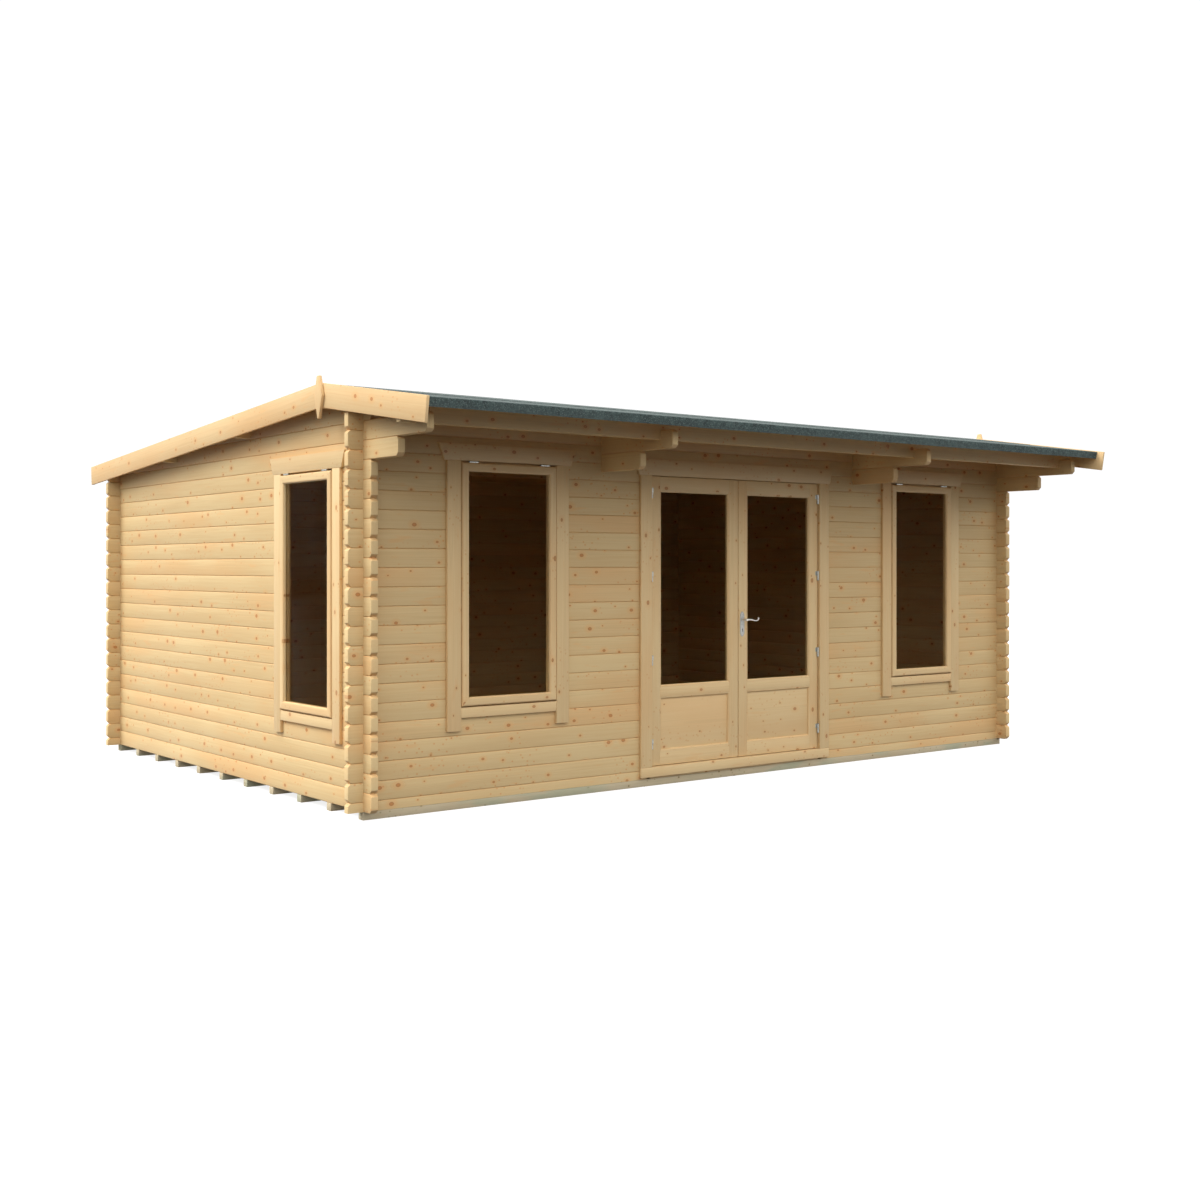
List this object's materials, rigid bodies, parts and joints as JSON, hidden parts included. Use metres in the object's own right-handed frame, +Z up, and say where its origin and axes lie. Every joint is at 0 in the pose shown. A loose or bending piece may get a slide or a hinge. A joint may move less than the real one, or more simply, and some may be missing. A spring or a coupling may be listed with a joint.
{
  "type": "log cabin",
  "caption": "Timber log cabin with an offset apex roof, a front canopy on stepped log brackets, glazed hinged doors and top-hung windows.",
  "frame": {"origin": "centre of the floor plan at ground level, on the underside of the middle bearer", "axes": "+X along the front wall, to the right for someone facing it; +Y from the front wall to the rear wall; +Z up"},
  "size_m": [6.098, 5.261, 2.568],
  "materials": {
    "logs": "bare planed pine with knots",
    "joinery": "bare smooth pine",
    "boards": "bare planed pine boards",
    "treated_timber": "sawn, pressure treated, greenish grey",
    "mineral_felt": "matte mineral grit, dark green",
    "pane": "clear",
    "zinc": "zinc plated",
    "handle_metal": "satin"
  },
  "bodies": {
    "cabin": {"bearers": "treated_timber", "floor_boards": "boards", "front_wall_base_left": "logs", "front_wall_base_right": "logs", "front_pier_left_corner": "logs", "front_pier_left": "logs", "front_pier_right": "logs", "front_pier_right_corner": "logs", "front_wall_head": "logs", "left_wall_base": "logs", "left_pier_front": "logs", "left_pier_rear": "logs", "left_wall_gable": "logs", "right_wall": "logs", "right_wall_gable": "logs", "rear_wall": "logs", "canopy_brackets": "logs", "eave_beam": "logs", "ridge_beam": "logs", "rear_beams": "logs", "front_roof_boards": "boards", "rear_roof_boards": "boards", "eave_strips": "boards", "front_felt": "mineral_felt", "rear_felt": "mineral_felt", "front_bargeboards": "joinery", "rear_bargeboards": "joinery", "finials": "joinery", "front_window_frames": "joinery", "side_window_frame": "joinery", "front_sashes": "joinery", "side_sash": "joinery", "front_window_glass": "pane", "side_window_glass": "pane", "window_hinges": "zinc", "door_frame": "joinery", "frame_hinges": "zinc"},
    "left_door": {"left_door": "joinery", "left_door_glass": "pane", "left_door_hinges": "zinc"},
    "right_door": {"right_door": "joinery", "right_door_glass": "pane", "right_door_hinges": "zinc", "lock_plate": "handle_metal"},
    "lever": {"lever_handle": "handle_metal"}
  },
  "joints": [
    {"name": "left_door_hinge", "type": "hinge", "parent": "cabin", "child": "left_door", "pos_m": [-0.7825, -2.036, 1.09], "axis": [0, 0, -1], "range_deg": [0, 100]},
    {"name": "right_door_hinge", "type": "hinge", "parent": "cabin", "child": "right_door", "pos_m": [0.7825, -2.036, 1.09], "axis": [0, 0, 1], "range_deg": [0, 100]},
    {"name": "lever_turn", "type": "hinge", "parent": "right_door", "child": "lever", "pos_m": [0.037, -2.05, 1.083], "axis": [0, 1, 0], "range_deg": [0, 40], "stiffness_Nm_per_rad": 2.5, "springref_deg": -17.19}
  ]
}
